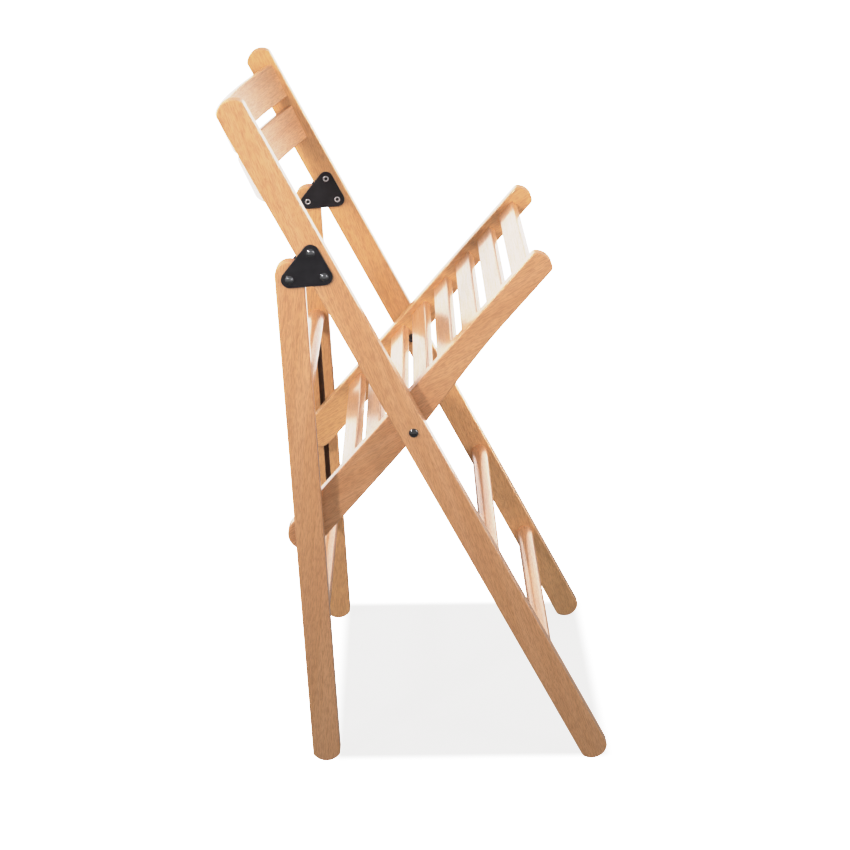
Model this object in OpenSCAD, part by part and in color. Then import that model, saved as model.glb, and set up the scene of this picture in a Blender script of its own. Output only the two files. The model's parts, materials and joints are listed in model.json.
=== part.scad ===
// Wooden folding chair, stored half folded: the seat front is swung up and the rear legs hang
// almost upright. The chair faces -Y, +Z is up, and the origin is the bottom centre of its box.
// "Right" is the sitter's right, the -X side.
//
// The front legs carry the backrest. The rear legs hang from steel hinge plates behind them. The
// seat turns on two bolts in the front legs, and its rear guide pins run in grooves in the rear legs.
// Leg frames are drawn upright in their own plane (Y back, Z up the leg) and leant back afterwards.

/* [Overall] */
// Width over the outer faces of the legs
chair_w = 440; // [420:1:470]
// Lean of the front legs from upright, in degrees
front_lean = 27.8; // [26:0.1:29]
// Rise of the seat front above level, in degrees
seat_angle = 49; // [40:0.5:56]

/* [Legs] */
// Width of every leg, seen from the side
leg_w = 33.5; // [31:0.5:34]
// Thickness of the front legs, across the chair
leg_t = 22; // [21:0.5:24]
// How much thinner the rear legs are, so that they turn between the hinge plates
rear_leg_play = 0.6; // [0.6:0.1:1]
// Radius of the arched leg ends
leg_end_r = 19; // [18:0.5:24]
// Front leg, from the seat bolt to its top end
bolt_to_top = 436.5; // [430:0.5:455]
// Front leg, from the seat bolt to its foot
bolt_to_foot = 483; // [475:1:500]

/* [Hinge] */
// Height of the hinge rivet above the seat bolt, along the front leg
hinge_up = 228.5; // [225:0.5:232]
// Distance of the hinge rivet behind the front leg's middle line
hinge_back = 36.4; // [36:0.1:38]
// Rear leg, from the hinge rivet to its top end
rear_top = 20.5; // [19:0.5:22]
// Spacing of the two rivets that fix the plates to the front leg
plate_rivet_pitch = 31.6; // [28:0.2:34]
// Corner radius of the hinge plates
plate_corner_r = 9.5; // [8:0.5:11]
// Thickness of the hinge plates
plate_t = 2; // [1.5:0.5:2.5]
// Diameter of the rivets
rivet_d = 6; // [5:0.5:6.5]
// Diameter of the domed rivet heads
rivet_head_d = 9.6; // [8:0.2:11]
// Height of the domed rivet heads
rivet_head_h = 2.2; // [1.5:0.1:3]
// Radial play of the rear leg on its rivet
rivet_play = 0.05; // [0.02:0.01:0.1]

/* [Backrest] */
// Height of each backrest slat
back_slat_h = 48; // [40:1:50]
// Thickness of the backrest slats
back_slat_t = 11; // [9:0.5:13]
// How far each backrest slat bows backwards at mid width
back_slat_bow = 47.5; // [25:0.5:55]
// Tilt of the slats against the legs, their upper edges forward, in degrees
back_tilt = 3.5; // [0:0.5:4]
// Rounding of the backrest slats' long edges
back_slat_edge_r = 4; // [2:0.5:4]
// Set-back of the slat ends from the front faces of the legs
back_slat_setback = 8.5; // [8:0.5:11]
// Top edge of the upper slat, below the top of the leg
back_slat_drop = 24; // [20:0.5:40]
// Gap between the two backrest slats
back_slat_gap = 12; // [8:1:18]
// Depth of the slat mortises in the legs
back_mortise = 6; // [5:0.5:7]

/* [Rungs] */
// Diameter of the four round rungs
rung_d = 22; // [18:0.5:23]
// Diameter of the rung tenons
tenon_d = 16; // [12:0.5:16]
// Length of the rung tenons
tenon_l = 14; // [10:1:16]
// Upper front rung, below the seat bolt along the leg
front_rung_1 = 199; // [196:1:215]
// Lower front rung, below the seat bolt along the leg
front_rung_2 = 338; // [300:1:400]
// Upper rear rung, below the hinge rivet along the leg
rear_rung_1 = 161; // [155:1:162]
// Lower rear rung, below the hinge rivet along the leg
rear_rung_2 = 450; // [448:1:520]

/* [Seat rails] */
// Thickness of the seat rails
rail_t = 20; // [18:0.5:22]
// Gap between a seat rail and its front leg
rail_gap = 4; // [3.8:0.1:5]
// Height of the rails behind the bolt
rail_rear_h = 41; // [38:0.5:42]
// Height of the rails at the front
rail_front_h = 29.5; // [28:0.5:34]
// Top edge of the rails above the seat bolt
rail_top = 30.5; // [29:0.5:31]
// Seat bolt to the front end of the rail
rail_front = 254; // [245:1:255]
// Seat bolt to the rear end of the rail
rail_rear = 210; // [205:1:211]
// Radius of the arched front end of the rails
rail_end_r = 19; // [16:0.5:24]

/* [Seat slats] */
// Middle to middle spacing of the seat slats
seat_slat_pitch = 44.67; // [40:0.01:45]
// Middle of the front seat slat, ahead of the bolt
seat_slat_front = 216; // [205:1:218]
// Width of the seat slats
seat_slat_w = 28; // [24:0.5:30]
// Thickness of the seat slats
seat_slat_t = 11; // [10:0.5:12]
// Depth of the seat surface below the rails' top edges
seat_slat_drop = 8.5; // [6:0.5:9]
// Rounding of the seat slats' long edges
seat_slat_edge_r = 2.5; // [1.5:0.5:4]

/* [Seat hardware] */
// Diameter of the seat bolts
bolt_d = 6; // [5:0.5:6]
// Diameter of the domed bolt heads
bolt_head_d = 11; // [10:0.5:14]
// Height of the domed bolt heads
bolt_head_h = 3; // [2:0.5:4]
// Outer diameter of the sleeve nuts that the rails turn on
sleeve_d = 8; // [8:0.5:10]
// Diameter of the sleeve nuts' heads
sleeve_head_d = 12.5; // [11:0.5:14]
// Height of the sleeve nuts' heads
sleeve_head_h = 3; // [2:0.5:4]
// Diameter of the guide pins
pin_d = 6; // [5:0.5:6.5]
// Guide pin behind the seat bolt, along the rail
pin_back = 177; // [174:0.5:180]
// Guide pin above the seat bolt, across the rail
pin_up = 11.5; // [10:0.5:13]
// Width of the guide grooves in the rear legs
groove_w = 7; // [6.5:0.5:8]
// Depth of the guide grooves
groove_depth = 9; // [7:0.5:11]
// Upper end of the grooves, below the hinge rivet
groove_start = 176; // [174:1:182]
// Lower end of the grooves, below the hinge rivet
groove_end = 416; // [410:1:430]

/* [Hidden] */
$fn = 64;

beech = [0.83, 0.64, 0.50];
black_steel = [0.14, 0.13, 0.15];
bright_steel = [0.55, 0.55, 0.57];

inner_x = chair_w / 2 - leg_t;          // inner face of the front legs
rail_x = inner_x - rail_gap;            // outer face of the seat rails
rail_in_x = rail_x - rail_t;            // inner face of the seat rails
rear_leg_t = leg_t - rear_leg_play;
rear_out_x = chair_w / 2 - rear_leg_play / 2;
rear_in_x = rear_out_x - rear_leg_t;    // inner face of the rear legs

// Turns a point of a side plane, [y, z], about the origin
function turned(p, a) = [p.x * cos(a) - p.y * sin(a), p.x * sin(a) + p.y * cos(a)];

// Backrest slats: both ends rise with the bow, which is an arc through the two mortises
slat_r = (pow(inner_x, 2) + pow(back_slat_bow, 2)) / (2 * back_slat_bow);
slat_front_y = -leg_w / 2 + back_slat_setback;
slat_top_z = bolt_to_top - back_slat_drop;
back_pivot_z = slat_top_z - back_slat_h - back_slat_gap / 2;   // the slats tilt about this height

// The seat bolt's place, from the two feet on the floor and the box's middle on the origin
foot_y = -(bolt_to_foot - leg_end_r) * sin(front_lean) - leg_end_r;
bow_edge = [0, back_pivot_z] + turned([slat_front_y + back_slat_bow + back_slat_t - back_slat_edge_r,
    slat_top_z - back_slat_edge_r - back_pivot_z], back_tilt);
bow_y = turned(bow_edge, -front_lean).x + back_slat_edge_r;
bolt = [-(foot_y + bow_y) / 2, (bolt_to_foot - leg_end_r) * cos(front_lean) + leg_end_r];
hinge = bolt + turned([hinge_back, hinge_up], -front_lean);

// The guide pins lie on the rear legs' middle lines, and that sets the rear legs' lean
guide = bolt + turned([pin_back, pin_up], -seat_angle);
rear_lean = atan2(hinge.x - guide.x, hinge.y - guide.y);
rear_foot = (hinge.y - leg_end_r) / cos(rear_lean) + leg_end_r;

seat_top_z = rail_top - seat_slat_drop;
pin_in_rail = 15;                       // length of the guide pin that stands in the rail
pin_end_play = 0.5;                     // guide pin's end to the rear leg's inner face
mortise_play = 0.05;
mortise_end_play = 0.5;                 // left beyond the rung tenons, for the glue
slat_end_play = 0.2;                    // left beyond the slats' tenons
over = 1;                               // how far a cutter runs past the face that it opens
overlap = 0.2;                          // how far a head runs into its own shank
slat_tenon_w = 20;
slat_tenon_t = 7;
slat_tenon_l = 10;
seat_slats = 8;

// ---- Building blocks ----

// Extrudes a side-plane outline, drawn as [y, z], from x0 to x0 + t
module across(x0, t) {
    translate([x0, 0, 0])
        rotate([90, 0, 90])
            linear_extrude(t)
                children();
}

// A round bar or hole along X, centred on [y, z]
module bar_x(p, x0, x1, d) {
    translate([x0, p.x, p.y])
        rotate([0, 90, 0])
            cylinder(d = d, h = x1 - x0);
}

// A domed head on the plane x = x0, bulging towards -X
module dome_x(p, x0, d, h) {
    r = (d * d / 4 + h * h) / (2 * h);
    intersection() {
        translate([x0 - h + r, p.x, p.y])
            sphere(r);
        bar_x(p, x0 - h, x0, d + over);
    }
}

// Places a frame drawn upright on its pivot and leans it back
module leant(pivot, lean) {
    translate([0, pivot.x, pivot.y])
        rotate([-lean, 0, 0])
            children();
}

module in_front_frame() leant(bolt, front_lean) children();
module in_rear_frame() leant(hinge, rear_lean) children();
module in_seat() leant(bolt, seat_angle) children();

module to_left() mirror([1, 0, 0]) children();

// Rounded rectangle from squares and circles, centred
module soft_rect(w, h, r) {
    square([w - 2 * r, h], center = true);
    square([w, h - 2 * r], center = true);
    for (x = [-1, 1], y = [-1, 1])
        translate([x * (w / 2 - r), y * (h / 2 - r)])
            circle(r);
}

// One arched end: radius r, apex at height z, with dir 1 for up and -1 for down
module arched_end(w, r, z, dir) {
    intersection() {
        translate([0, z - dir * r])
            circle(r);
        translate([-w / 2, dir > 0 ? z - r : z])
            square([w, r]);
    }
}

function sagitta(w, r) = r - sqrt(max(0, r * r - w * w / 4));

// Leg outline with arched ends, measured up and down from the pivot
module leg_outline(up, up_r, down, down_r) {
    top = up - sagitta(leg_w, up_r);
    foot = down - sagitta(leg_w, down_r);
    translate([-leg_w / 2, -foot])
        square([leg_w, foot + top]);
    arched_end(leg_w, up_r, up, 1);
    arched_end(leg_w, down_r, -down, -1);
}

// ---- Front frame ----

// Curved slat between the front legs; its ends stand in the mortises. grow widens the cutter.
module back_slat(z_top, grow) {
    half_angle = asin((inner_x + back_mortise) / slat_r);
    mid = [0, slat_front_y + back_slat_bow - slat_r, z_top - back_slat_h / 2 - back_pivot_z];
    translate([0, 0, back_pivot_z])
        rotate([back_tilt, 0, 0])
            translate(mid)
                rotate([0, 0, 90 - half_angle])
                    rotate_extrude(angle = 2 * half_angle, $fn = 128)
                        translate([slat_r + back_slat_t / 2, 0])
                            soft_rect(back_slat_t + grow, back_slat_h + grow, back_slat_edge_r);
}

module both_back_slats(grow) {
    back_slat(slat_top_z, grow);
    back_slat(slat_top_z - back_slat_h - back_slat_gap, grow);
}

plate_points = [[hinge_back, hinge_up],
    [0, hinge_up + plate_rivet_pitch / 2],
    [0, hinge_up - plate_rivet_pitch / 2]];

// Blind round hole for a rung's tenon, in from the leg's inner face at x
module rung_mortise(z, x) {
    bar_x([0, z], x - tenon_l - mortise_end_play, x + over, tenon_d + 2 * mortise_play);
}

module front_leg() {
    color(beech) in_front_frame() difference() {
        across(-chair_w / 2, leg_t)
            leg_outline(bolt_to_top, leg_end_r, bolt_to_foot, leg_end_r);
        both_back_slats(2 * mortise_play);
        for (i = [1, 2])
            bar_x(plate_points[i], -chair_w / 2 - over, -inner_x + over, rivet_d);
        bar_x([0, 0], -chair_w / 2 - over, -inner_x + over, bolt_d);
        for (z = [-front_rung_1, -front_rung_2])
            rung_mortise(z, -inner_x);
    }
}

module trimmed_back_slat(z_top) {
    reach = inner_x + back_mortise - slat_end_play;
    color(beech) in_front_frame() intersection() {
        back_slat(z_top, 0);
        translate([-reach, -chair_w, 0])
            cube([2 * reach, 2 * chair_w, bolt_to_top]);
    }
}

// Round rung between inner faces that are 2 * x apart, with its tenons
module rung(z, x) {
    color(beech) union() {
        bar_x([0, z], -x, x, rung_d);
        bar_x([0, z], -x - tenon_l, x + tenon_l, tenon_d);
    }
}

// Rounded triangle over the three rivets
module plate_outline() {
    polygon(plate_points);
    for (i = [0:2]) {
        a = plate_points[i];
        b = plate_points[(i + 1) % 3];
        translate(a)
            circle(plate_corner_r);
        translate(a)
            rotate(atan2(b.y - a.y, b.x - a.x))
                translate([0, -plate_corner_r])
                    square([norm(b - a), 2 * plate_corner_r]);
    }
}

module hinge_plate(x0) {
    color(black_steel) in_front_frame() difference() {
        across(x0, plate_t)
            plate_outline();
        for (p = plate_points)
            bar_x(p, x0 - over, x0 + plate_t + over, rivet_d);
    }
}

// Tubular rivet: domed head outside, rolled rim inside
module rivet(p) {
    outer = -chair_w / 2 - plate_t;
    inner = -inner_x + plate_t;
    rim_r = rivet_d / 2;
    wall = 0.9;
    tube_depth = 8;
    difference() {
        union() {
            dome_x(p, outer, rivet_head_d, rivet_head_h);
            bar_x(p, outer - overlap, inner + wall / 2, rivet_d);
            translate([inner, p.x, p.y])
                rotate([0, 90, 0])
                    intersection() {
                        rotate_extrude()
                            translate([rim_r, 0])
                                circle(wall, $fn = 24);
                        cylinder(r = rim_r + 2 * wall, h = 2 * wall);
                    }
        }
        bar_x(p, inner - tube_depth, inner + 2 * wall + over, rivet_d - 2 * wall);
    }
}

module plate_rivets() {
    color(bright_steel) in_front_frame()
        for (i = [1, 2])
            rivet(plate_points[i]);
}

module hinge_rivet() {
    color(bright_steel) in_front_frame()
        rivet(plate_points[0]);
}

bolt_tip_x = -rail_in_x - 2;

module seat_bolt() {
    color(black_steel) in_front_frame() union() {
        dome_x([0, 0], -chair_w / 2, bolt_head_d, bolt_head_h);
        bar_x([0, 0], -chair_w / 2 - overlap, bolt_tip_x, bolt_d);
    }
}

// Sleeve nut: its sleeve fills the rail's bore and its head covers the rail's inner face
module sleeve_nut() {
    end_play = 0.3;
    head_x = -rail_in_x + end_play;
    socket_d = 5.8;                     // over the corners of the hexagon socket
    socket_depth = 2;
    color(black_steel) in_front_frame() difference() {
        union() {
            bar_x([0, 0], -rail_x, head_x + overlap, sleeve_d);
            to_left()
                dome_x([0, 0], -head_x, sleeve_head_d, sleeve_head_h);
        }
        bar_x([0, 0], -rail_x - over, bolt_tip_x, bolt_d);
        translate([head_x + sleeve_head_h - socket_depth, 0, 0])
            rotate([0, 90, 0])
                cylinder(d = socket_d, h = socket_depth + over, $fn = 6);
    }
}

// Washer that keeps the rail clear of the inner hinge plate
module spacer() {
    washer_d = 18;
    end_play = 0.3;
    color(black_steel) in_front_frame() difference() {
        bar_x([0, 0], -inner_x, -rail_x - end_play, washer_d);
        bar_x([0, 0], -inner_x - over, -rail_x + over, bolt_d);
    }
}

// ---- Rear frame ----

module groove() {
    length = groove_end - groove_start - groove_w;
    translate([-groove_w / 2, -groove_end + groove_w / 2])
        square([groove_w, length]);
    for (z = [-groove_start - groove_w / 2, -groove_end + groove_w / 2])
        translate([0, z])
            circle(d = groove_w);
}

module rear_leg() {
    color(beech) in_rear_frame() difference() {
        across(-rear_out_x, rear_leg_t)
            leg_outline(rear_top, leg_w / 2, rear_foot, leg_end_r);
        bar_x([0, 0], -rear_out_x - over, -rear_in_x + over, rivet_d + 2 * rivet_play);
        across(-rear_in_x - groove_depth, groove_depth + over)
            groove();
        for (z = [-rear_rung_1, -rear_rung_2])
            rung_mortise(z, -rear_in_x);
    }
}

// ---- Seat ----

// The rails' lower edge rises in an S from the deep rear part to the slim front part
s_rear = 50;                            // where the S starts, behind the bolt
s_front = -165;                         // where it ends, ahead of the bolt
s_steps = 16;
function smooth(t) = t * t * (3 - 2 * t);
function low_edge(t) = [s_rear + (s_front - s_rear) * t,
    rail_top - rail_rear_h + (rail_rear_h - rail_front_h) * smooth(t)];

module rail_outline() {
    front_mid = rail_top - rail_front_h / 2;
    rear_r = rail_rear_h / 2;
    rear_y = rail_rear - rear_r;
    front_y = -rail_front + sagitta(rail_front_h, rail_end_r);
    polygon(concat([[rear_y, rail_top], [front_y, rail_top], [front_y, rail_top - rail_front_h]],
        [for (i = [s_steps:-1:0]) low_edge(i / s_steps)],
        [[rear_y, rail_top - rail_rear_h]]));
    translate([rear_y, rail_top - rear_r])
        circle(rear_r);
    translate([0, front_mid])
        rotate(90)
            arched_end(rail_front_h, rail_end_r, rail_front, 1);
}

function slat_y(i) = -seat_slat_front + (i - 1) * seat_slat_pitch;

// Places a slat-sized thing on slat i's middle line, in the side plane
module at_slat(i) {
    translate([0, slat_y(i), seat_top_z - seat_slat_t / 2])
        children();
}

module slat_tenon(x0, x1, grow) {
    translate([x0, -slat_tenon_w / 2 - grow, -slat_tenon_t / 2 - grow])
        cube([x1 - x0, slat_tenon_w + 2 * grow, slat_tenon_t + 2 * grow]);
}

module seat_rail() {
    color(beech) in_seat() difference() {
        across(-rail_x, rail_t)
            rail_outline();
        bar_x([0, 0], -rail_x - over, -rail_in_x + over, sleeve_d + 2 * rivet_play);
        bar_x([pin_back, pin_up], -rail_x - over, -rail_x + pin_in_rail, pin_d);
        for (i = [1:seat_slats])
            at_slat(i)
                slat_tenon(-rail_in_x - slat_tenon_l - slat_end_play, -rail_in_x + over, mortise_play);
    }
}

module seat_slat(i) {
    color(beech) in_seat() at_slat(i) union() {
        across(-rail_in_x, 2 * rail_in_x)
            soft_rect(seat_slat_w, seat_slat_t, seat_slat_edge_r);
        slat_tenon(-rail_in_x - slat_tenon_l, rail_in_x + slat_tenon_l, 0);
    }
}

// Pin in the rail's rear end that reaches towards the groove
module guide_pin() {
    tip_x = -rear_in_x + pin_end_play;
    color(bright_steel) in_seat()
        bar_x([pin_back, pin_up], tip_x, -rail_x + pin_in_rail, pin_d);
}

// ---- Nodes ----

module front_leg_right() front_leg();
module front_leg_left() to_left() front_leg();
module backrest_slat_upper() trimmed_back_slat(slat_top_z);
module backrest_slat_lower() trimmed_back_slat(slat_top_z - back_slat_h - back_slat_gap);
module front_rung_upper() in_front_frame() rung(-front_rung_1, inner_x);
module front_rung_lower() in_front_frame() rung(-front_rung_2, inner_x);
module hinge_plate_right_outer() hinge_plate(-chair_w / 2 - plate_t);
module hinge_plate_right_inner() hinge_plate(-inner_x);
module hinge_plate_left_outer() to_left() hinge_plate_right_outer();
module hinge_plate_left_inner() to_left() hinge_plate_right_inner();
module plate_rivets_right() plate_rivets();
module plate_rivets_left() to_left() plate_rivets();
module hinge_rivet_right() hinge_rivet();
module hinge_rivet_left() to_left() hinge_rivet();
module seat_bolt_right() seat_bolt();
module seat_bolt_left() to_left() seat_bolt();
module sleeve_nut_right() sleeve_nut();
module sleeve_nut_left() to_left() sleeve_nut();
module spacer_right() spacer();
module spacer_left() to_left() spacer();
module rear_leg_right() rear_leg();
module rear_leg_left() to_left() rear_leg();
module rear_rung_upper() in_rear_frame() rung(-rear_rung_1, rear_in_x);
module rear_rung_lower() in_rear_frame() rung(-rear_rung_2, rear_in_x);
module seat_rail_right() seat_rail();
module seat_rail_left() to_left() seat_rail();
module guide_pin_right() guide_pin();
module guide_pin_left() to_left() guide_pin();
module seat_slat_1() seat_slat(1);
module seat_slat_2() seat_slat(2);
module seat_slat_3() seat_slat(3);
module seat_slat_4() seat_slat(4);
module seat_slat_5() seat_slat(5);
module seat_slat_6() seat_slat(6);
module seat_slat_7() seat_slat(7);
module seat_slat_8() seat_slat(8);

front_leg_right();
front_leg_left();
backrest_slat_upper();
backrest_slat_lower();
front_rung_upper();
front_rung_lower();
hinge_plate_right_outer();
hinge_plate_right_inner();
hinge_plate_left_outer();
hinge_plate_left_inner();
plate_rivets_right();
plate_rivets_left();
hinge_rivet_right();
hinge_rivet_left();
seat_bolt_right();
seat_bolt_left();
sleeve_nut_right();
sleeve_nut_left();
spacer_right();
spacer_left();
rear_leg_right();
rear_leg_left();
rear_rung_upper();
rear_rung_lower();
seat_rail_right();
seat_rail_left();
guide_pin_right();
guide_pin_left();
seat_slat_1();
seat_slat_2();
seat_slat_3();
seat_slat_4();
seat_slat_5();
seat_slat_6();
seat_slat_7();
seat_slat_8();
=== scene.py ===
"""Looks of the wooden folding chair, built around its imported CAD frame.

Sizes are in millimetres inside the three local frames (front frame, rear frame, seat). There X
runs across the chair, Y is its depth and Z runs up the leg or along the seat's normal. Every piece
is turned into the row frame, in metres, when its mesh is made. Pieces that come in pairs are
modelled on the right side, at negative X, and mirrored for the left side.
"""

import json
import math
import random

import bmesh
import bpy
from mathutils import Matrix, Vector


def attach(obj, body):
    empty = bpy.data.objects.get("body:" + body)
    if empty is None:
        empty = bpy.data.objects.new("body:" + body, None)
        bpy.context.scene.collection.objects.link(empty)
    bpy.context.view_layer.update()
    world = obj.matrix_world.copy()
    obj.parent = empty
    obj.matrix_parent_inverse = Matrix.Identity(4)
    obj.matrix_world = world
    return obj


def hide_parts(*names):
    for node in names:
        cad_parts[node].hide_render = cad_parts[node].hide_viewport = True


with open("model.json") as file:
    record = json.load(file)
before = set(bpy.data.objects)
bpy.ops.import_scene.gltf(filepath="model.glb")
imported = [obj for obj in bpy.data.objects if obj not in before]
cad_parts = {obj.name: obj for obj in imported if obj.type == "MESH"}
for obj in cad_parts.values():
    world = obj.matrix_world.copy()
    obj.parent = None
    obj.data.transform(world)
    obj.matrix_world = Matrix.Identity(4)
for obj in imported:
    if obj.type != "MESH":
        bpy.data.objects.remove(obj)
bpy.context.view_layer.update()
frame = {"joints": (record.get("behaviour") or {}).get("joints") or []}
scene = bpy.context.scene
scene.view_settings.view_transform = "Standard"
scene.view_settings.look = "None"

# ---- Tone curve ----
CURVE_WHITE = 4.0    # the brightest value that the curve still tells apart
SHOULDER = ((0.3, 0.3), (0.7, 0.69), (0.85, 0.79), (1.25, 0.87), (2.0, 0.93), (3.0, 0.975))


def soften_highlights(view):
    """A shoulder like a camera's: tones above about 0.7 are rolled off towards white."""
    view.use_curve_mapping = True
    curves = view.curve_mapping
    curves.white_level = (CURVE_WHITE,) * 3
    combined = curves.curves[3]
    for x, y in SHOULDER:
        combined.points.new(x / CURVE_WHITE, y)
    curves.update()


soften_highlights(scene.view_settings)

MM = 0.001

pivots = {j["name"]: Vector(j["pos_m"]) for j in frame["joints"]}
SEAT_BOLT, HINGE_AT = pivots["seat_fold"], pivots["rear_fold"]

# ---- Camera ----
LENS_MM, SENSOR_MM = 78.39953, 36.0
CLIP_FROM, CLIP_TO = 0.05, 100
CAMERA_AT = SEAT_BOLT + Vector((-2.25417, 0.00048, 0.71051))
YAW, PITCH, ROLL = -0.006764, 0.331759, -0.008213    # radians, from a level look along +X


def camera_matrix():
    forward = Vector((math.cos(YAW) * math.cos(PITCH), math.sin(YAW) * math.cos(PITCH),
                      -math.sin(PITCH)))
    right = Vector((math.sin(YAW), -math.cos(YAW), 0))
    up = right.cross(forward)
    rolled_right = right * math.cos(ROLL) + up * math.sin(ROLL)
    rolled_up = up * math.cos(ROLL) - right * math.sin(ROLL)
    turned = Matrix((rolled_right, rolled_up, -forward)).transposed().to_4x4()
    return Matrix.Translation(CAMERA_AT) @ turned


camera = bpy.data.objects.new("camera", bpy.data.cameras.new("camera"))
camera.data.sensor_width = SENSOR_MM
camera.data.lens = LENS_MM
camera.data.clip_start = CLIP_FROM
camera.data.clip_end = CLIP_TO
camera.matrix_world = camera_matrix()
scene.collection.objects.link(camera)
scene.camera = camera

# ---- Sizes of the CAD, in mm and degrees ----
HALF_W = 220.0
LEG_T, LEG_W = 22.0, 33.5
INNER_X = HALF_W - LEG_T
# Front legs, measured from the seat bolt
LEG_UP, LEG_DOWN, LEG_END_R, LEG_CORNER_R = 436.5, 483.0, 19.0, 5.0
FRONT_LEAN = 27.8
HINGE = (36.4, 228.5)
RIVETS = (HINGE, (0.0, 244.3), (0.0, 212.7))
# Rear legs, measured from the hinge
REAR_UP = 20.5
REAR_OUT_X, REAR_IN_X = 219.7, 198.3
GROOVE_W, GROOVE_DEPTH, GROOVE_FROM, GROOVE_TO = 7.0, 9.0, 176.0, 416.0
# Seat, measured from the seat bolt
SEAT_ANGLE = 49.0
PIN = (177.0, 11.5)
RAIL_OUT_X, RAIL_IN_X = 194.0, 174.0
RAIL_TOP, RAIL_REAR_H, RAIL_FRONT_H = 30.5, 41.0, 29.5
RAIL_FRONT, RAIL_REAR, RAIL_END_R, RAIL_CORNER_R = 254.0, 210.0, 19.0, 6.0
S_REAR, S_FRONT = 50.0, -165.0    # where the rail's lower edge starts and ends its S
SLATS, SLAT_FRONT, SLAT_PITCH = 8, 216.0, 44.67
SLAT_W, SLAT_T, SLAT_TOP, SLAT_EDGE_R = 28.0, 11.0, 22.0, 2.5
# Backrest slats
BACK_H, BACK_T, BACK_EDGE_R = 48.0, 11.0, 2.4
BACK_BOW, BACK_SETBACK, BACK_DROP, BACK_GAP = 47.5, 8.5, 24.0, 12.0
BACK_TILT = 3.5
# Rungs, measured down the legs
RUNG_D = 22.0
FRONT_RUNGS = (199.0, 338.0)
REAR_RUNGS = (161.0, 450.0)
PLATE_T, PLATE_R = 2.0, 9.5


def leant(pivot, lean_deg):
    return Matrix.Translation(pivot) @ Matrix.Rotation(-math.radians(lean_deg), 4, "X")


IN_FRONT = leant(SEAT_BOLT, FRONT_LEAN)
IN_SEAT = leant(SEAT_BOLT, SEAT_ANGLE)
pin_at = IN_SEAT @ Vector((0, PIN[0] * MM, PIN[1] * MM))
REAR_LEAN = math.degrees(math.atan2(HINGE_AT.y - pin_at.y, HINGE_AT.z - pin_at.z))
IN_REAR = leant(HINGE_AT, REAR_LEAN)
REAR_DOWN = (HINGE_AT.z / MM - LEG_END_R) / math.cos(math.radians(REAR_LEAN)) + LEG_END_R

# ---- Outlines: closed, counter-clockwise lists of (y, z, normal y, normal z) ----
SAME_POINT = 1e-4
S_STEPS = 40


def arc(cy, cz, r, start, end, step=4.0):
    """Points of a circle's arc, in degrees, with their outward normals."""
    n = max(1, math.ceil(abs(end - start) / step))
    out = []
    for i in range(n + 1):
        a = math.radians(start + (end - start) * i / n)
        out.append((cy + r * math.cos(a), cz + r * math.sin(a), math.cos(a), math.sin(a)))
    return out


def without_repeats(points):
    out = []
    for p in points:
        if not out or math.hypot(p[0] - out[-1][0], p[1] - out[-1][1]) > SAME_POINT:
            out.append(p)
    if math.hypot(out[0][0] - out[-1][0], out[0][1] - out[-1][1]) < SAME_POINT:
        out.pop()
    return out


def arched_end(w, r, apex, soft):
    """The arched end of a bar of width w that points up: right corner, arc, left corner."""
    half = w / 2 - soft
    rise = math.sqrt(max(0.0, (r - soft) ** 2 - half**2))
    phi = math.degrees(math.atan2(rise, half))
    z0 = apex - r
    return (arc(half, z0 + rise, soft, 0, phi) + arc(0, z0, r, phi, 180 - phi)
            + arc(-half, z0 + rise, soft, 180 - phi, 180))


def leg_outline(up, up_r, down, down_r):
    top = arched_end(LEG_W, up_r, up, LEG_CORNER_R)
    foot = [(-y, -z, -ny, -nz) for y, z, ny, nz in arched_end(LEG_W, down_r, down, LEG_CORNER_R)]
    return without_repeats(top + foot)


def slot_outline(w, low, high):
    r = w / 2
    return without_repeats(arc(0, high - r, r, 0, 180, 12) + arc(0, low + r, r, 180, 360, 12))


def rail_outline():
    """Round rear end, arched front end, and a lower edge that rises in an S to the front."""
    rear_r = RAIL_REAR_H / 2
    rear = arc(RAIL_REAR - rear_r, RAIL_TOP - rear_r, rear_r, -90, 90)
    mid = RAIL_TOP - RAIL_FRONT_H / 2
    arch = arched_end(RAIL_FRONT_H, RAIL_END_R, RAIL_FRONT, RAIL_CORNER_R)
    front = [(-z, y + mid, -nz, ny) for y, z, ny, nz in arch]
    low = []
    rise, run = RAIL_REAR_H - RAIL_FRONT_H, S_FRONT - S_REAR
    for i in range(S_STEPS + 1):
        t = i / S_STEPS
        slope = rise * 6 * t * (1 - t) / run
        n = math.hypot(slope, 1)
        z = RAIL_TOP - RAIL_REAR_H + rise * t * t * (3 - 2 * t)
        low.append((S_REAR + run * t, z, slope / n, -1 / n))
    return without_repeats(rear + front + low[::-1])


def hull_outline(points, r):
    """Circles of radius r at a counter-clockwise polygon's corners, joined by straight sides."""
    out = []
    for i, p in enumerate(points):
        before, after = points[i - 1], points[(i + 1) % len(points)]
        a0 = math.degrees(math.atan2(p[1] - before[1], p[0] - before[0])) - 90
        a1 = math.degrees(math.atan2(after[1] - p[1], after[0] - p[0])) - 90
        out += arc(p[0], p[1], r, a0, a0 + (a1 - a0) % 360, 8)
    return without_repeats(out)


def soft_rect(w, h, r):
    """Rounded rectangle centred on the origin."""
    out = []
    for i, (sx, sy) in enumerate(((1, -1), (1, 1), (-1, 1), (-1, -1))):
        out += arc(sx * (w / 2 - r), sy * (h / 2 - r), r, 90 * i - 90, 90 * i, 18)
    return without_repeats(out)


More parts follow.
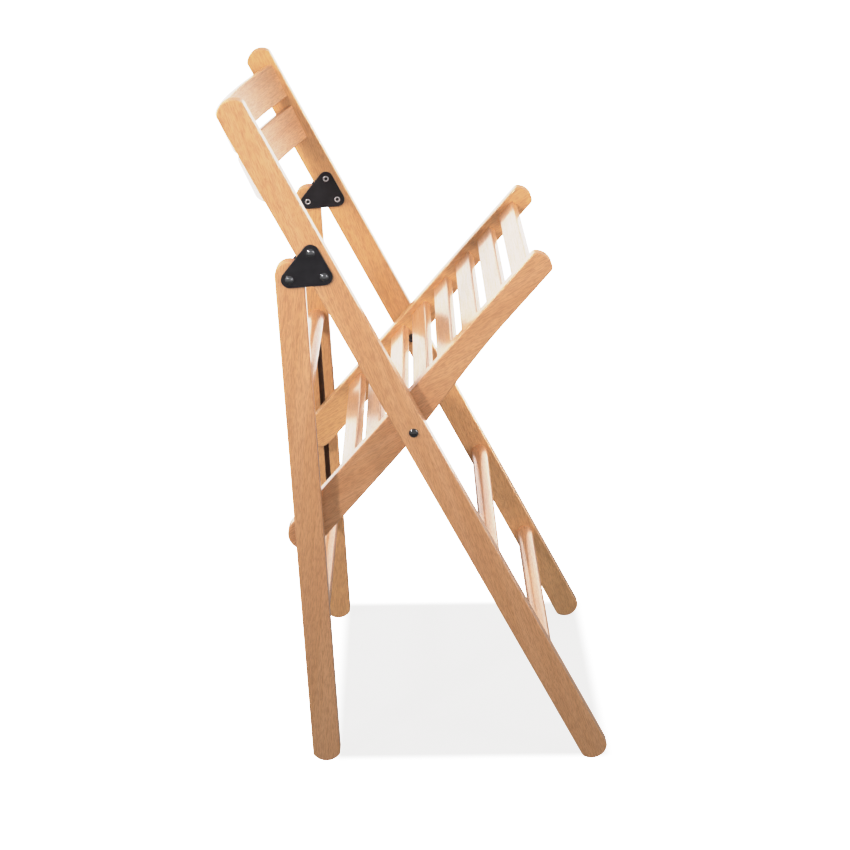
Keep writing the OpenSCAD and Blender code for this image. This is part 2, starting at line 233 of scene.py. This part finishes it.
# ---- Meshes ----
class Builder:
    """A bmesh in a local frame, in mm, that also holds each vertex's place in its wood's grain."""

    def __init__(self):
        self.bm = bmesh.new()
        self.grain = self.bm.verts.layers.float_vector.new("grain")
        self.end = self.bm.verts.layers.float.new("end_grain")

    def vert(self, co, grain=None, end=0.0):
        v = self.bm.verts.new(co)
        v[self.grain] = Vector(grain if grain else co) * MM
        v[self.end] = end
        return v

    def strip(self, a, b, material=0):
        """Quads between two closed loops of vertices."""
        n = len(a)
        for i in range(n):
            f = self.bm.faces.new((a[i], a[(i + 1) % n], b[(i + 1) % n], b[i]))
            f.material_index = material

    def tube(self, loops):
        """Quads between each loop and the next one, with both ends closed."""
        for a, c in zip(loops, loops[1:]):
            self.strip(a, c)
        self.bm.faces.new(loops[0][::-1])
        self.bm.faces.new(loops[-1])

    def cap(self, loop, holes=()):
        if not holes:
            self.bm.faces.new(loop)
            return
        edges = []
        for ring in (loop, *holes):
            for i, v in enumerate(ring):
                ends = (v, ring[(i + 1) % len(ring)])
                edges.append(self.bm.edges.get(ends) or self.bm.edges.new(ends))
        bmesh.ops.triangle_fill(self.bm, edges=edges, use_beauty=True, use_dissolve=False)


POCKET_EASE = 0.5
FACE_END_GRAIN = 0.3    # the share of end grain where a rounded edge runs into the flat face


def slab(b, outline, x0, x1, r, along, steps=4, pockets=()):
    """A board between x0 and x1 with rounded edges. along gives (grain along, across) of an
    outline point and how much its normal faces the end of the wood. pockets are
    (outline, depth, material) cut into the x1 face."""
    def ring(x, inset):
        share = 1 if inset < r else FACE_END_GRAIN
        out = []
        for y, z, ny, nz in outline:
            g, end = along(y - inset * ny, z - inset * nz, ny, nz)
            co = (x, y - inset * ny, z - inset * nz)
            out.append(b.vert(co, (g[0], g[1], x), end * share))
        return out

    turns = [math.radians(90 * k / steps) for k in range(steps + 1)]
    rings = [ring(x0 + r * (1 - math.cos(a)), r * (1 - math.sin(a))) for a in turns]
    rings += [ring(x1 - r * (1 - math.cos(a)), r * (1 - math.sin(a))) for a in turns[::-1]]
    for a, c in zip(rings, rings[1:]):
        b.strip(a, c)
    b.cap(rings[0][::-1])
    holes = []
    for pocket, depth, material in pockets:
        loops = []
        for dx, grow in ((0, POCKET_EASE), (-POCKET_EASE, 0), (-depth, 0)):
            loops.append([b.vert((x1 + dx, y + grow * ny, z + grow * nz),
                                 (*along(y, z, ny, nz)[0], x1 + dx)) for y, z, ny, nz in pocket])
        b.strip(loops[0], loops[1])
        b.strip(loops[1], loops[2], material)
        b.bm.faces.new(loops[2]).material_index = material
        holes.append(loops[0])
    b.cap(rings[-1], holes)


def lathe(b, profile, centre, x, side, steps=32, material=0):
    """Turns a (radius, height) profile about an axis along X; height grows to side, -1 or 1."""
    loops = []
    for r, h in profile:
        if r < 1e-6:
            loops.append([b.vert((x + side * h, *centre))])
            continue
        loop = []
        for i in range(steps):
            a = 2 * math.pi * i / steps
            loop.append(b.vert((x + side * h, centre[0] + r * math.cos(a),
                                centre[1] + r * math.sin(a))))
        loops.append(loop)
    for a, c in zip(loops, loops[1:]):
        for i in range(steps):
            j = (i + 1) % steps
            quad = [a[i % len(a)], a[j % len(a)], c[j % len(c)], c[i % len(c)]]
            quad = [v for k, v in enumerate(quad) if v not in quad[:k]]
            b.bm.faces.new(quad).material_index = material


SHARP_DEG = 40
GRAIN_RANGE = 3    # metres of grain to pick a piece's start from
PLAIN_TONE = 0.25


def make(name, body, materials, place, b, nodes, mirrored=False, seed=None,
         tone=PLAIN_TONE):
    """Finishes a Builder as a piece that rides on a body and stands for its CAD nodes. A wooden
    piece has a seed, which picks where its grain starts, and a tone from 0 to 1, which says how
    yellow it is."""
    if seed is not None:
        rnd = random.Random(seed)
        shift = Vector([rnd.uniform(-GRAIN_RANGE, GRAIN_RANGE) for _ in range(3)])
        tones = b.bm.verts.layers.float.new("tone")
        for v in b.bm.verts:
            v[b.grain] += shift
            v[tones] = tone
    for v in b.bm.verts:
        if mirrored:
            v.co.x = -v.co.x
        v.co = place @ (v.co * MM)
    bmesh.ops.recalc_face_normals(b.bm, faces=b.bm.faces)
    mesh = bpy.data.meshes.new(name)
    b.bm.to_mesh(mesh)
    b.bm.free()
    mesh.polygons.foreach_set("use_smooth", [True] * len(mesh.polygons))
    mesh.set_sharp_from_angle(angle=math.radians(SHARP_DEG))
    for m in materials:
        mesh.materials.append(m)
    o = bpy.data.objects.new(name, mesh)
    scene.collection.objects.link(o)
    flat = o.modifiers.new("flat_faces", "WEIGHTED_NORMAL")
    flat.keep_sharp = True
    flat.weight = 100
    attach(o, body)
    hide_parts(*nodes)


# ---- Materials ----
def srgb(r, g, b):
    """A display colour, 0 to 255, as a linear one."""
    def lin(c):
        c /= 255
        return c / 12.92 if c <= 0.04045 else ((c + 0.055) / 1.055) ** 2.4
    return (lin(r), lin(g), lin(b), 1.0)


class Nodes:
    """Short hand for building a material's node tree."""
    MIX_FACTOR, MIX_A, MIX_B, MIX_RESULT = 0, 6, 7, 2    # sockets of a colour Mix node

    def __init__(self, name):
        self.material = bpy.data.materials.new(name)
        self.material.use_nodes = True
        self.tree = self.material.node_tree
        self.shader = self.tree.nodes["Principled BSDF"]

    def add(self, kind, **values):
        """A new node. Each value is one of its settings, or else one of its inputs."""
        n = self.tree.nodes.new(kind)
        for k, v in values.items():
            if hasattr(n, k):
                setattr(n, k, v)
            else:
                n.inputs[k.replace("_", " ")].default_value = v
        return n

    def link(self, a, b):
        self.tree.links.new(a, b)

    def set(self, **values):
        for k, v in values.items():
            self.shader.inputs[k.replace("_", " ")].default_value = v

    def attribute(self, name):
        return self.add("ShaderNodeAttribute", attribute_name=name)

    def object_place(self):
        return self.add("ShaderNodeTexCoord").outputs["Object"]

    def scaled(self, vector, scale):
        n = self.add("ShaderNodeVectorMath", operation="MULTIPLY")
        self.link(vector, n.inputs[0])
        n.inputs[1].default_value = scale
        return n.outputs[0]

    def noise(self, vector, scale, detail=2.0, rough=0.5):
        n = self.add("ShaderNodeTexNoise", Scale=1.0, Detail=detail, Roughness=rough)
        self.link(self.scaled(vector, scale), n.inputs["Vector"])
        return n.outputs["Fac"]

    def ramp(self, value, stops):
        n = self.add("ShaderNodeValToRGB")
        n.color_ramp.interpolation = "LINEAR"
        while len(n.color_ramp.elements) < len(stops):
            n.color_ramp.elements.new(0.5)
        for e, (at, colour) in zip(n.color_ramp.elements, stops):
            e.position = at
            e.color = colour if len(colour) == 4 else (*colour, 1)
        self.link(value, n.inputs["Fac"])
        return n.outputs["Color"]

    def spread(self, value, low, high, to_low=0.0, to_high=1.0):
        """Maps low..high smoothly to to_low..to_high."""
        n = self.add("ShaderNodeMapRange", interpolation_type="SMOOTHSTEP",
                     From_Min=low, From_Max=high, To_Min=to_low, To_Max=to_high)
        self.link(value, n.inputs["Value"])
        return n.outputs["Result"]

    def mix(self, fac, a, b):
        n = self.add("ShaderNodeMix", data_type="RGBA")
        for value, key in ((fac, self.MIX_FACTOR), (a, self.MIX_A), (b, self.MIX_B)):
            if isinstance(value, (int, float, tuple)):
                n.inputs[key].default_value = value
            else:
                self.link(value, n.inputs[key])
        return n.outputs[self.MIX_RESULT]

    def math(self, operation, a, b):
        n = self.add("ShaderNodeMath", operation=operation)
        for value, key in ((a, 0), (b, 1)):
            if isinstance(value, (int, float)):
                n.inputs[key].default_value = value
            else:
                self.link(value, n.inputs[key])
        return n.outputs[0]

    def bump(self, height, distance, strength):
        n = self.add("ShaderNodeBump", Distance=distance, Strength=strength)
        self.link(height, n.inputs["Height"])
        self.link(n.outputs["Normal"], self.shader.inputs["Normal"])


# Scales of the wood's noises, per metre: along the grain, then twice across it
SWAY_SCALE, SWAY_BY = (4, 14, 14), (0.0, 0.006, 0.006)
BAND_SCALE = (1.6, 60, 60)
LINE_SCALE = (14, 900, 900)
BLOTCH_SCALE = (7, 26, 26)
FLECK_SCALE, FINE_FLECK_SCALE = (90, 1000, 1000), (150, 1500, 1500)
PORE_SCALE = (900, 900, 900)

WOOD_LIGHT = srgb(231, 176, 132)
WOOD_MID = srgb(224, 167, 121)
WOOD_DARK = srgb(216, 157, 110)
WOOD_ROSY = srgb(220, 158, 117)
WOOD_HONEY = srgb(224, 173, 116)
WOOD_LINE = srgb(196, 137, 92)
WOOD_FLECK = srgb(160, 104, 66)
WOOD_END = srgb(216, 162, 122)
WOOD_END_DARK = srgb(194, 136, 97)

ROSY_SHARE, HONEY_SHARE, LINE_SHARE, FLECK_SHARE, END_SHARE = 0.3, 0.7, 0.4, 0.33, 0.75
RELIEF_M, RELIEF_STRENGTH = 0.00008, 0.8


def beech():
    """Satin lacquered beech. The grain attribute runs along the wood in X and across it in Y
    and Z."""
    m = Nodes("beech")
    grain = m.attribute("grain").outputs["Vector"]
    tone = m.attribute("tone").outputs["Fac"]
    end = m.attribute("end_grain").outputs["Fac"]
    # The lines wander a little
    sway = m.add("ShaderNodeTexNoise", Scale=1.0, Detail=1.0)
    m.link(m.scaled(grain, SWAY_SCALE), sway.inputs["Vector"])
    push = m.add("ShaderNodeVectorMath", operation="MULTIPLY_ADD")
    m.link(sway.outputs["Color"], push.inputs[0])
    push.inputs[1].default_value = SWAY_BY
    m.link(grain, push.inputs[2])
    wavy = push.outputs[0]

    bands = m.noise(wavy, BAND_SCALE)
    lines = m.noise(wavy, LINE_SCALE, 3, 0.6)
    blotch = m.noise(grain, BLOTCH_SCALE)
    base = m.ramp(bands, [(0.30, WOOD_DARK), (0.5, WOOD_MID), (0.72, WOOD_LIGHT)])
    base = m.mix(m.spread(blotch, 0.35, 0.75, 0.0, ROSY_SHARE), base, WOOD_ROSY)
    base = m.mix(m.spread(tone, 0.0, 1.0, 0.0, HONEY_SHARE), base, WOOD_HONEY)
    base = m.mix(m.spread(lines, 0.46, 0.72, 0.0, LINE_SHARE), base, WOOD_LINE)
    # Short fine flecks, darker than the wood and close together
    coarse = m.spread(m.noise(wavy, FLECK_SCALE, 1, 0.4), 0.50, 0.64)
    fine = m.spread(m.noise(wavy, FINE_FLECK_SCALE, 1, 0.4), 0.52, 0.66)
    flecks = m.math("MAXIMUM", coarse, fine)
    base = m.mix(m.math("MULTIPLY", flecks, FLECK_SHARE), base, WOOD_FLECK)
    # Pores of the end grain
    pores = m.noise(grain, PORE_SCALE, 1, 0.5)
    ends = m.mix(m.spread(pores, 0.45, 0.7), WOOD_END, WOOD_END_DARK)
    base = m.mix(m.spread(end, 0.55, 0.95, 0.0, END_SHARE), base, ends)
    m.link(base, m.shader.inputs["Base Color"])
    # The lacquer sinks into the end grain, which stays matt
    matt = m.spread(end, 0.25, 0.85, 0.0, 0.35)
    rough = m.math("ADD", m.spread(lines, 0.3, 0.8, 0.34, 0.48), matt)
    m.link(rough, m.shader.inputs["Roughness"])
    m.link(m.spread(end, 0.25, 0.85, 0.6, 0.08), m.shader.inputs["Coat Weight"])
    m.set(IOR=1.5, Coat_Roughness=0.12, Coat_IOR=1.5)
    relief = m.math("ADD", m.math("MULTIPLY", flecks, -0.7), m.math("MULTIPLY", lines, 0.5))
    m.bump(relief, RELIEF_M, RELIEF_STRENGTH)
    return m.material


def clouded(name, scale, colours, roughness, detail=2.0, rough=0.5, **values):
    """A material whose colour and roughness vary with one noise between two values each."""
    m = Nodes(name)
    cloud = m.noise(m.object_place(), scale, detail, rough)
    m.link(m.ramp(cloud, list(zip((0.3, 0.7), colours))), m.shader.inputs["Base Color"])
    m.link(m.spread(cloud, 0.3, 0.7, *roughness), m.shader.inputs["Roughness"])
    m.set(**values)
    return m


def black_steel():
    """Satin black powder coat with a faint orange peel."""
    m = clouded("black_steel", (90, 90, 90), (srgb(22, 19, 23), srgb(30, 27, 31)), (0.42, 0.55),
                Specular_IOR_Level=0.35)
    peel = m.noise(m.object_place(), (1500, 1500, 1500))
    m.bump(peel, 0.00006, 0.35)
    return m.material


def gloss_black():
    """Black oxide with a polished, lightly handled surface."""
    return clouded("gloss_black", (800, 800, 800), (srgb(16, 15, 18), srgb(26, 24, 28)),
                   (0.10, 0.2), Coat_Weight=1.0, Coat_Roughness=0.06, Coat_IOR=1.8).material


def rivet_steel():
    """Dark polished steel."""
    return clouded("rivet_steel", (700, 700, 700), ((0.19, 0.19, 0.2), (0.27, 0.27, 0.28)),
                   (0.12, 0.24), Metallic=1.0).material


def bright_steel():
    """Rolled rims and pins of pale, zinc plated steel."""
    return clouded("bright_steel", (900, 900, 900), ((0.60, 0.58, 0.59), (0.70, 0.68, 0.69)),
                   (0.42, 0.52), Metallic=0.85).material


def painted_groove_shade():
    """Bottom and walls of the guide grooves, painted dark brown: painted shade for the deep
    groove.
    """
    return clouded("painted_groove_shade", (300, 300, 60), (srgb(92, 66, 50), srgb(122, 90, 68)),
                   (0.5, 0.7), detail=3, rough=0.6).material


BEECH = beech()
BLACK = black_steel()
GLOSS = gloss_black()
RIVET = rivet_steel()
BRIGHT = bright_steel()
GROOVE_SHADE = painted_groove_shade()

# ---- Wooden pieces ----
SIDES = (("right", False), ("left", True))    # the left pieces are mirrored
LEG_SLANT, RAIL_SLANT = math.radians(8), math.radians(17)
EDGE_R = 1.8
TONES = {"right": 0.3, "left": 0.85}    # the boards of the left side are yellower
# Where each kind of piece starts its run of seeds
FRONT_LEG_SEED, REAR_LEG_SEED, RAIL_SEED = 11, 21, 31
FRONT_RUNG_SEED, REAR_RUNG_SEED, SLAT_SEED, BACK_SLAT_SEED = 41, 45, 51, 71
# How far the visible ends of rungs and slats reach into their neighbours
EMBED = 1.0
BOW_EMBED = 1.5
BAR_STEPS, RUNG_SIDES, BOW_STEPS = 8, 48, 64


def along_z(y, z, ny, nz):
    """Grain of a leg: it runs out of the leg's front face a little."""
    return (z * math.cos(LEG_SLANT) - y * math.sin(LEG_SLANT),
            z * math.sin(LEG_SLANT) + y * math.cos(LEG_SLANT)), abs(nz)


def along_y(y, z, ny, nz):
    """Grain of a rail: it climbs towards the rear."""
    return (y * math.cos(RAIL_SLANT) + z * math.sin(RAIL_SLANT),
            z * math.cos(RAIL_SLANT) - y * math.sin(RAIL_SLANT)), abs(ny)


for side, mirrored in SIDES:
    node = f"front_leg_{side}"
    b = Builder()
    slab(b, leg_outline(LEG_UP, LEG_END_R, LEG_DOWN, LEG_END_R), -HALF_W, -INNER_X, EDGE_R,
         along_z)
    make(node, "front_frame", [BEECH], IN_FRONT, b, [node], mirrored,
         seed=FRONT_LEG_SEED + mirrored, tone=TONES[side])
    node = f"rear_leg_{side}"
    b = Builder()
    # The groove's walls and bottom take the second material, a dark brown that is painted shade
    groove = (slot_outline(GROOVE_W, -GROOVE_TO, -GROOVE_FROM), GROOVE_DEPTH, 1)
    slab(b, leg_outline(REAR_UP, LEG_W / 2, REAR_DOWN, LEG_END_R), -REAR_OUT_X, -REAR_IN_X,
         EDGE_R, along_z, pockets=[groove])
    make(node, "rear_frame", [BEECH, GROOVE_SHADE], IN_REAR, b, [node], mirrored,
         seed=REAR_LEG_SEED + mirrored, tone=TONES[side])
    node = f"seat_rail_{side}"
    b = Builder()
    slab(b, rail_outline(), -RAIL_OUT_X, -RAIL_IN_X, EDGE_R, along_y)
    make(node, "seat", [BEECH], IN_SEAT, b, [node], mirrored,
         seed=RAIL_SEED + mirrored, tone=TONES[side])


def straight_bar(section, half, y, z):
    """A bar across the chair with its ends just inside its neighbours."""
    b = Builder()
    loops = []
    for i in range(BAR_STEPS + 1):
        x = -half + 2 * half * i / BAR_STEPS
        loops.append([b.vert((x, y + p[0], z + p[1]), (x, p[0], p[1])) for p in section])
    b.tube(loops)
    return b


round_bar = [(RUNG_D / 2 * math.cos(a), RUNG_D / 2 * math.sin(a)) for a in
             (2 * math.pi * i / RUNG_SIDES for i in range(RUNG_SIDES))]
for frame_name, place, half, drops, seed in (
        ("front", IN_FRONT, INNER_X + EMBED, FRONT_RUNGS, FRONT_RUNG_SEED),
        ("rear", IN_REAR, REAR_IN_X + EMBED, REAR_RUNGS, REAR_RUNG_SEED)):
    for i, (level, drop) in enumerate(zip(("upper", "lower"), drops)):
        node = f"{frame_name}_rung_{level}"
        make(node, f"{frame_name}_frame", [BEECH], place,
             straight_bar(round_bar, half, 0, -drop), [node], seed=seed + i)

slat_section = [p[:2] for p in soft_rect(SLAT_W, SLAT_T, SLAT_EDGE_R)]
for i in range(SLATS):
    node = f"seat_slat_{i + 1}"
    b = straight_bar(slat_section, RAIL_IN_X + EMBED, -SLAT_FRONT + i * SLAT_PITCH,
                     SLAT_TOP - SLAT_T / 2)
    make(node, "seat", [BEECH], IN_SEAT, b, [node], seed=SLAT_SEED + i)


def bowed_slat(z_top):
    """A slat that follows an arc between the legs, its grain bent with it."""
    r_front = (INNER_X**2 + BACK_BOW**2) / (2 * BACK_BOW)
    centre_y = -LEG_W / 2 + BACK_SETBACK + BACK_BOW - r_front
    half = math.asin((INNER_X + BOW_EMBED) / r_front)
    section = soft_rect(BACK_T, BACK_H, BACK_EDGE_R)
    b = Builder()
    loops = []
    for i in range(BOW_STEPS + 1):
        a = half - 2 * half * i / BOW_STEPS
        loop = []
        for p in section:
            r = r_front + BACK_T / 2 + p[0]
            co = (r * math.sin(a), centre_y + r * math.cos(a), z_top - BACK_H / 2 + p[1])
            loop.append(b.vert(co, (r_front * a, p[1], p[0])))
        loops.append(loop)
    b.tube(loops)
    return b


# The slats are tilted about the backrest's middle height, their upper edges forward
back_pivot = Vector((0, 0, LEG_UP - BACK_DROP - BACK_H - BACK_GAP / 2)) * MM
IN_BACKREST = (IN_FRONT @ Matrix.Translation(back_pivot)
               @ Matrix.Rotation(math.radians(BACK_TILT), 4, "X")
               @ Matrix.Translation(-back_pivot))
for i, level in enumerate(("upper", "lower")):
    node = f"backrest_slat_{level}"
    z_top = LEG_UP - BACK_DROP - i * (BACK_H + BACK_GAP)
    make(node, "front_frame", [BEECH], IN_BACKREST, bowed_slat(z_top), [node],
         seed=BACK_SLAT_SEED + i)

# ---- Hinge plates and rivets ----
PLATE_EDGE_R = 0.45
BORE_R, BORE_DEPTH = 2.0, 7.0
RIM_R, RIM_ROLL_R = 3.0, 0.9


def plate(x0):
    b = Builder()
    slab(b, hull_outline(RIVETS, PLATE_R), x0, x0 + PLATE_T, PLATE_EDGE_R, along_z, steps=3)
    return b


def ball(r, height, base, start, steps=8):
    """Lathe profile of a dome over radius r, from angle start up to the axis."""
    angles = [math.radians(start + (90 - start) * i / steps) for i in range(steps + 1)]
    return [(r * math.cos(a), base + height * math.sin(a)) for a in angles]


RIVET_HEAD = [(4.8, 0.0), (4.8, 0.35), (4.5, 0.55), (4.05, 0.6)] + ball(4.0, 1.6, 0.6, 10)
BORE = [(0, -BORE_DEPTH), (BORE_R, -BORE_DEPTH), (BORE_R + 0.1, 0.0)]
RIM = [(RIM_R + RIM_ROLL_R * math.cos(math.radians(a)), RIM_ROLL_R * math.sin(math.radians(a)))
       for a in range(180, -1, -20)]


def rivet(b, at):
    """Domed head outside, rolled pale rim and open bore inside."""
    lathe(b, RIVET_HEAD, at, -HALF_W - PLATE_T, -1)
    lathe(b, BORE, at, -INNER_X + PLATE_T, 1)
    lathe(b, RIM, at, -INNER_X + PLATE_T, 1, material=1)


for side, mirrored in SIDES:
    for face, x0 in (("outer", -HALF_W - PLATE_T), ("inner", -INNER_X)):
        node = f"hinge_plate_{side}_{face}"
        make(node, "front_frame", [BLACK], IN_FRONT, plate(x0), [node], mirrored)
    for kind, spots in (("plate_rivets", RIVETS[1:]), ("hinge_rivet", RIVETS[:1])):
        node = f"{kind}_{side}"
        b = Builder()
        for p in spots:
            rivet(b, p)
        make(node, "front_frame", [RIVET, BRIGHT], IN_FRONT, b, [node], mirrored)

# ---- Seat bolts, sleeve nuts, washers and guide pins ----
BOLT_R, BOLT_TIP = 3, HALF_W - (RAIL_IN_X + 2)
BOLT_HEAD_R, BOLT_DOME_H, BOLT_DOME_BASE = 5.5, 2.6, 0.4
BOLT = [(0, -BOLT_TIP), (BOLT_R - 0.4, -BOLT_TIP), (BOLT_R, 0.4 - BOLT_TIP), (BOLT_R, 0),
        (BOLT_HEAD_R - 0.3, 0), (BOLT_HEAD_R, 0.25)]
BOLT += ball(BOLT_HEAD_R, BOLT_DOME_H, BOLT_DOME_BASE, 4)
NUT_HEAD_R, NUT_HEAD_H, NUT_END_PLAY, NUT_STEPS = 6.2, 2.6, 0.3, 36
SOCKET_R, SOCKET_DEPTH, SLEEVE_R = 2.9, 1.8, 4.0
WASHER_R, WASHER_BORE_R, WASHER_PLAY, WASHER_EASE = 9.0, 3.1, 0.3, 0.4
PIN_R, PIN_IN_RAIL, PIN_END_PLAY = 3.0, 6.0, 0.5

# (radius, height, share of a hexagon) of the sleeve nut's rings: round outside, a hexagon socket
# inside
NUT_RINGS = [
    (SLEEVE_R, RAIL_IN_X - RAIL_OUT_X, 0), (SLEEVE_R, 0, 0),
    (NUT_HEAD_R - 0.3, 0, 0), (NUT_HEAD_R, 0.3, 0), (NUT_HEAD_R, 1.0, 0),
    (NUT_HEAD_R * 0.93, 1.75, 0), (NUT_HEAD_R * 0.78, 2.3, 0), (NUT_HEAD_R * 0.6, 2.55, 0),
    (SOCKET_R + 0.35, NUT_HEAD_H, 0.6), (SOCKET_R, NUT_HEAD_H - 0.25, 1),
    (SOCKET_R, NUT_HEAD_H - SOCKET_DEPTH, 1)]


def hexagon_radius(angle):
    """Distance from the axis to a hexagon's side, for a hexagon of radius 1 over its corners."""
    return math.cos(math.pi / 6) / math.cos(angle % (math.pi / 3) - math.pi / 6)


def sleeve_nut():
    b = Builder()
    base = -RAIL_IN_X + NUT_END_PLAY
    loops = []
    for r, h, six in NUT_RINGS:
        loop = []
        for i in range(NUT_STEPS):
            a = 2 * math.pi * i / NUT_STEPS
            q = r * (1 + six * (hexagon_radius(a) - 1))
            loop.append(b.vert((base + h, q * math.cos(a), q * math.sin(a))))
        loops.append(loop)
    b.tube(loops)
    return b


def spacer():
    """A washer between leg and rail, slightly eased at its rim."""
    b = Builder()
    t = INNER_X - RAIL_OUT_X - WASHER_PLAY
    rim = [(WASHER_BORE_R, 0), (WASHER_R - WASHER_EASE, 0), (WASHER_R, WASHER_EASE),
           (WASHER_R, t - WASHER_EASE), (WASHER_R - WASHER_EASE, t), (WASHER_BORE_R, t),
           (WASHER_BORE_R, 0)]
    lathe(b, rim, (0, 0), -INNER_X, 1, 40)
    bmesh.ops.remove_doubles(b.bm, verts=b.bm.verts, dist=SAME_POINT)
    return b


def guide_pin():
    """Round pin with an eased tip, from inside the rail to just short of the rear leg."""
    b = Builder()
    length = REAR_IN_X - PIN_END_PLAY - RAIL_OUT_X
    profile = [(0, -PIN_IN_RAIL), (PIN_R, -PIN_IN_RAIL), (PIN_R, length - 0.6),
               (PIN_R - 0.2, length - 0.15), (PIN_R - 0.6, length), (0, length)]
    lathe(b, profile, PIN, -RAIL_OUT_X, -1)
    return b


def seat_bolt():
    b = Builder()
    lathe(b, BOLT, (0, 0), -HALF_W, -1)
    return b


for side, mirrored in SIDES:
    for kind, body, slot, material, place, shape in (
            ("seat_bolt", "front_frame", "black_steel", GLOSS, IN_FRONT, seat_bolt),
            ("sleeve_nut", "front_frame", "black_steel", GLOSS, IN_FRONT, sleeve_nut),
            ("spacer", "front_frame", "black_steel", BLACK, IN_FRONT, spacer),
            ("guide_pin", "seat", "rivet_steel", BRIGHT, IN_SEAT, guide_pin)):
        node = f"{kind}_{side}"
        make(node, body, [material], place, shape(), [node], mirrored)

# ---- Floor ----
PAPER_WHITE = 5.0
FLOOR_R, FLOOR_SIDES, FLOOR_DROP = 1.5, 96, 0.0005
FLOOR_GREY = (0.2, 0.2, 0.2, 1)
# Painted shadow: the paper's glow drops to this grey in a soft-edged field between the four feet
PAINTED_SHADOW_GREY = (1.0, 0.985, 0.96, 1)
PAINTED_SHADOW_X, PAINTED_SHADOW_Y, PAINTED_SHADOW_SOFT = (-0.215, 0.25), (-0.24, 0.105), 0.012

floor = bpy.data.objects.new("floor", bpy.data.meshes.new("floor"))
scene.collection.objects.link(floor)
bm = bmesh.new()
bmesh.ops.create_circle(bm, cap_ends=True, radius=FLOOR_R, segments=FLOOR_SIDES)
bm.to_mesh(floor.data)
bm.free()
floor.location.z = -FLOOR_DROP


def floor_material():
    """White paper that the camera sees burnt out, with a painted shadow: a faint grey field
    between the four feet.
    """
    m = Nodes("floor")
    parts = m.add("ShaderNodeSeparateXYZ")
    m.link(m.object_place(), parts.inputs[0])

    def inside(value, low, high):
        return m.math("MULTIPLY", m.spread(value, low - PAINTED_SHADOW_SOFT, low + PAINTED_SHADOW_SOFT),
                      m.spread(value, high - PAINTED_SHADOW_SOFT, high + PAINTED_SHADOW_SOFT, 1, 0))

    # Painted shadow: a soft-edged mask of the field between the feet, where the paper's glow turns
    # grey
    painted_shadow = m.math("MULTIPLY", inside(parts.outputs[0], *PAINTED_SHADOW_X),
                   inside(parts.outputs[1], *PAINTED_SHADOW_Y))
    m.set(Base_Color=FLOOR_GREY, Roughness=1.0, Specular_IOR_Level=0.0)
    glow = m.add("ShaderNodeEmission")
    m.link(m.mix(painted_shadow, (PAPER_WHITE, PAPER_WHITE, PAPER_WHITE, 1), PAINTED_SHADOW_GREY),
           glow.inputs["Color"])
    m.link(m.add("ShaderNodeLightPath").outputs["Is Camera Ray"], glow.inputs["Strength"])
    both = m.add("ShaderNodeAddShader")
    m.link(m.shader.outputs[0], both.inputs[0])
    m.link(glow.outputs[0], both.inputs[1])
    m.link(both.outputs[0], m.tree.nodes["Material Output"].inputs["Surface"])
    return m.material


floor.data.materials.append(floor_material())

# ---- Light ----
AMBIENT, BACKDROP = 0.5, 1.95
BACKDROP_SIDE = Vector((1.0, -0.05, -0.12)).normalized()
BACKDROP_FROM, BACKDROP_FULL = 0.54, 0.78    # cosines of the angle to BACKDROP_SIDE
WHITE = (1, 1, 1, 1)


def studio_world():
    """Dim room with a bright white backdrop behind the chair. The camera itself sees a burnt-out
    white."""
    world = bpy.data.worlds.new("studio")
    world.use_nodes = True
    tree = world.node_tree
    add, link = tree.nodes.new, tree.links.new
    dot = add("ShaderNodeVectorMath")
    dot.operation = "DOT_PRODUCT"
    link(add("ShaderNodeTexCoord").outputs["Generated"], dot.inputs[0])
    dot.inputs[1].default_value = BACKDROP_SIDE
    strip = add("ShaderNodeMapRange")
    strip.interpolation_type = "SMOOTHSTEP"
    link(dot.outputs["Value"], strip.inputs["Value"])
    for key, v in (("From Min", BACKDROP_FROM), ("From Max", BACKDROP_FULL),
                   ("To Min", AMBIENT), ("To Max", BACKDROP)):
        strip.inputs[key].default_value = v
    room = tree.nodes["Background"]
    room.inputs["Color"].default_value = WHITE
    link(strip.outputs["Result"], room.inputs["Strength"])
    paper = add("ShaderNodeBackground")
    paper.inputs["Color"].default_value = WHITE
    paper.inputs["Strength"].default_value = PAPER_WHITE
    seen = add("ShaderNodeMixShader")
    link(add("ShaderNodeLightPath").outputs["Is Camera Ray"], seen.inputs[0])
    link(room.outputs[0], seen.inputs[1])
    link(paper.outputs[0], seen.inputs[2])
    link(seen.outputs[0], tree.nodes["World Output"].inputs["Surface"])
    return world


scene.world = studio_world()


def softbox(name, at, aim, side, watts, spread_deg):
    """A square softbox with a grid that narrows its beam."""
    lamp = bpy.data.lights.new(name, "AREA")
    lamp.shape = "SQUARE"
    lamp.size = side
    lamp.energy = watts
    lamp.spread = math.radians(spread_deg)
    o = bpy.data.objects.new(name, lamp)
    o.location = at
    o.rotation_euler = (Vector(aim) - Vector(at)).to_track_quat("-Z", "Y").to_euler()
    o.visible_camera = False
    scene.collection.objects.link(o)


softbox("key_box", at=(-1.4, 1.1, 1.3), aim=(-0.1, 0.02, 0.6),
        side=0.15, watts=1.9, spread_deg=60)
softbox("rear_box", at=(-0.6, 1.3, 1.5), aim=(0.1, 0.1, 0.7),
        side=0.6, watts=2.0, spread_deg=60)
softbox("front_box", at=(-1.1, -1.5, 1.3), aim=(0.0, 0.05, 0.7),
        side=0.3, watts=2.5, spread_deg=80)
softbox("inner_fill", at=(-0.2, -1.3, 0.55), aim=(0.2, -0.05, 0.42),
        side=0.5, watts=0.8, spread_deg=40)
